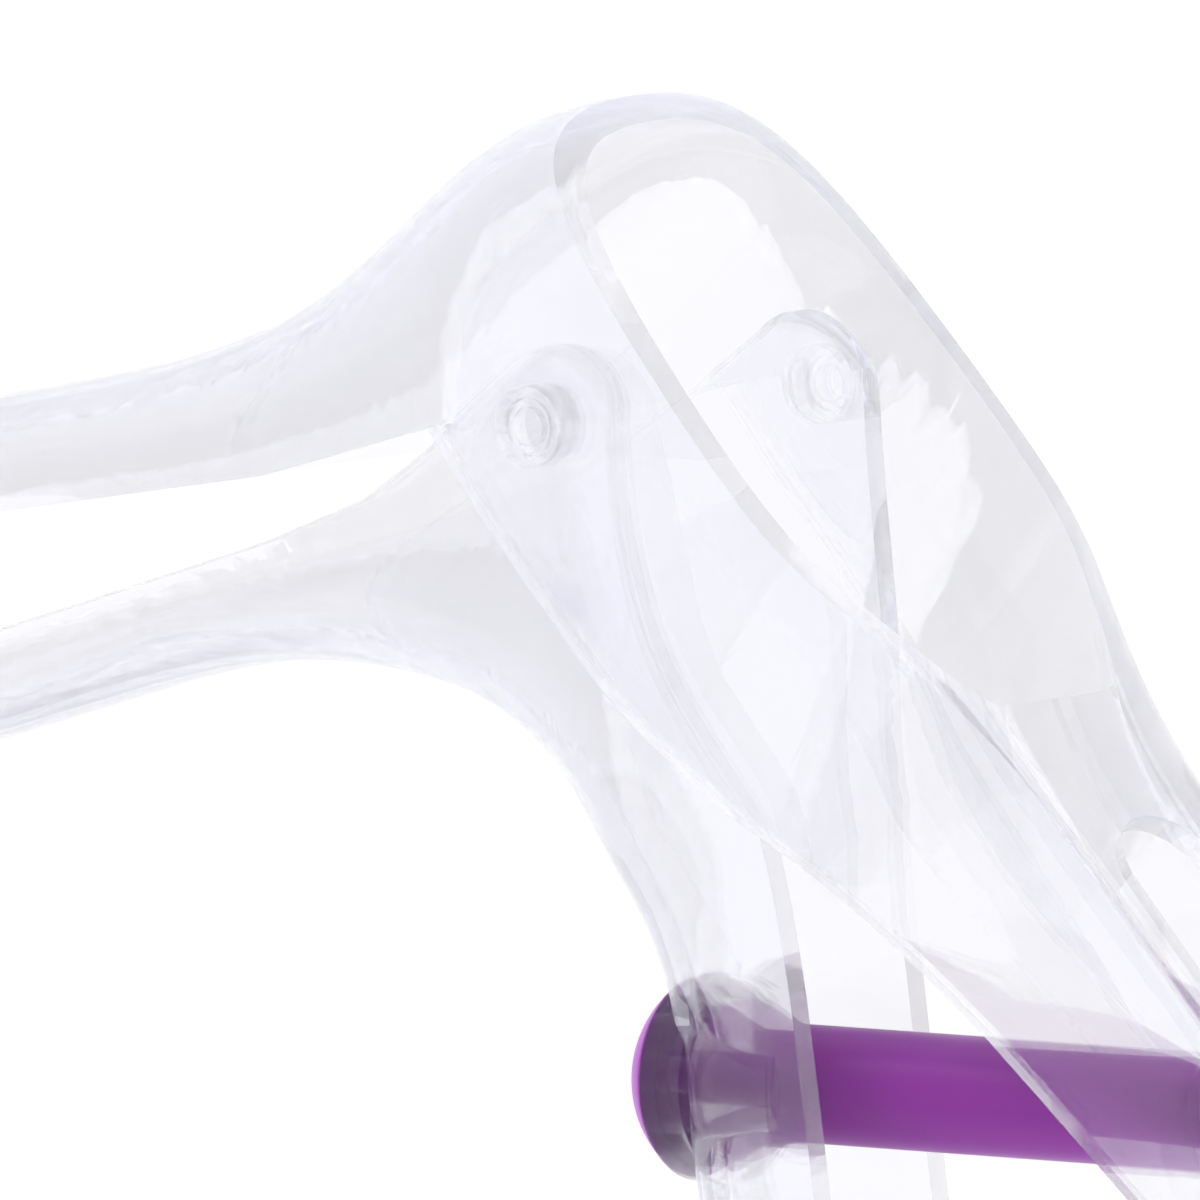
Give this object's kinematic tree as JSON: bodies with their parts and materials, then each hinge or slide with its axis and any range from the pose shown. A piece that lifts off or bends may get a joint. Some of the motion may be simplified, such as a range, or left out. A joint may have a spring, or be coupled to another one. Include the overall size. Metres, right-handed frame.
{
  "type": "bivalve speculum",
  "caption": "Clear plastic bivalve speculum, side-hinged, its handles held by a purple bar and a nut behind the slotted handle.",
  "frame": {"origin": "flat end of the hinge pin on the side the instrument lies on, on the hinge axis", "axes": "+Z along the hinge axis, up from the side it lies on; -X along the lower blade to its tip; -Y down the front handle; the mouth opens to +X"},
  "size_m": [0.1912, 0.1246, 0.0372],
  "materials": {
    "clear_lower": "clear polished",
    "clear_upper": "clear polished",
    "purple_bar": "gloss",
    "purple_nut": "gloss"
  },
  "bodies": {
    "lower_half": {"lower_valve": "clear_lower"},
    "upper_half": {"upper_valve": "clear_upper"},
    "bar": {"lock_bar": "purple_bar"},
    "nut": {"wing_nut": "purple_nut"}
  },
  "joints": [
    {"name": "valve_hinge", "type": "hinge", "parent": "lower_half", "child": "upper_half", "pos_m": [0, 0, 0.0186], "axis": [0, 0, -1], "range_deg": [-8, 12]},
    {"name": "bar_spin", "type": "hinge", "parent": "lower_half", "child": "bar", "pos_m": [-0.01326, -0.04655, 0.0186], "axis": [0.9617, -0.274, 0], "continuous": true},
    {"name": "nut_travel", "type": "slide", "parent": "bar", "child": "nut", "axis": [0.9617, -0.274, 0], "range_m": [-0.0218, 0.0146]}
  ],
  "couplings": [
    {"joint": "nut_travel", "follows": "valve_hinge", "m_per_rad": -0.1033}
  ]
}
